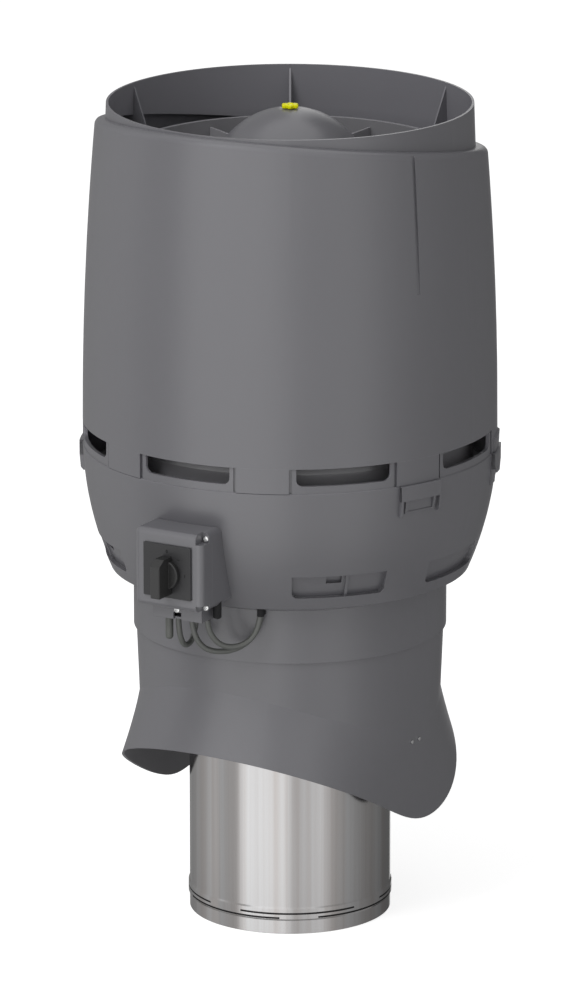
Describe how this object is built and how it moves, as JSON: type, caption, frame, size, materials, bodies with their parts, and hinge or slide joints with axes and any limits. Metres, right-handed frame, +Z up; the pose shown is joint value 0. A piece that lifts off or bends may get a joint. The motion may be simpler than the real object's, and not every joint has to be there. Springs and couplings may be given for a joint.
{
  "type": "roof exhaust fan",
  "caption": "Roof exhaust fan with a tall rounded hood, slotted bowl housing, isolator switch, saddle-shaped roof collar and a steel duct pipe below.",
  "frame": {"origin": "centre of the steel pipe's open lower end", "axes": "+Z up along the fan's axis, -Y towards the isolator switch"},
  "size_m": [0.5086, 0.5778, 1.021],
  "materials": {
    "pipe_steel": "polished stainless",
    "seal_rubber": "matte",
    "collar_plastic": "fine moulded grain",
    "housing_plastic": "fine moulded grain",
    "hood_plastic": "fine moulded grain",
    "clip_plastic": "fine moulded grain",
    "duct_plastic": "fine moulded grain",
    "dome_plastic": "fine moulded grain",
    "yellow_plastic": "satin",
    "box_plastic": "fine moulded grain",
    "dial_plastic": "satin",
    "knob_plastic": "satin",
    "contact_plastic": "matte",
    "cable_jacket": "matte",
    "plug_plastic": "matte",
    "screw_steel": "bright",
    "sheet_steel": "galvanised",
    "wheel_plastic": "satin",
    "motor_metal": "cast",
    "insulation_foam": "open foam"
  },
  "bodies": {
    "fan": {"duct_pipe": "pipe_steel", "pipe_seal": "seal_rubber", "roof_collar": "collar_plastic", "collar_rivets": "screw_steel", "riser_insulation": "insulation_foam", "lower_housing": "housing_plastic", "hood": "hood_plastic", "hood_posts": "hood_plastic", "hood_clips": "clip_plastic", "outlet_duct": "duct_plastic", "motor_dome": "dome_plastic", "dome_knob": "yellow_plastic", "dome_stud": "screw_steel", "inlet_plate": "sheet_steel", "inlet_nozzle": "sheet_steel", "motor_hub": "duct_plastic", "guide_vanes": "duct_plastic", "duct_screws": "screw_steel", "motor_stator": "motor_metal", "lower_bearing": "screw_steel", "upper_bearing": "screw_steel", "motor_plate": "sheet_steel", "motor_screws": "screw_steel", "switch_base": "box_plastic", "switch_cover": "box_plastic", "switch_plate": "dial_plastic", "contact_block": "contact_plastic", "box_screws": "screw_steel", "box_pad": "seal_rubber", "blind_plug": "plug_plastic", "cable_bushes": "seal_rubber", "supply_cable": "cable_jacket", "motor_cable": "cable_jacket", "link_cable": "cable_jacket"},
    "wheel": {"impeller": "wheel_plastic", "wheel_ring": "wheel_plastic", "motor_rotor": "motor_metal", "rotor_shaft": "screw_steel"},
    "handle": {"switch_knob": "knob_plastic", "switch_spindle": "screw_steel"}
  },
  "joints": [
    {"name": "wheel_spin", "type": "hinge", "parent": "fan", "child": "wheel", "pos_m": [0, 0, 0.69], "axis": [0, 0, 1], "continuous": true},
    {"name": "switch_turn", "type": "hinge", "parent": "fan", "child": "handle", "pos_m": [0, -0.296, 0.4983], "axis": [0, 1, 0], "range_deg": [0, 90]}
  ]
}
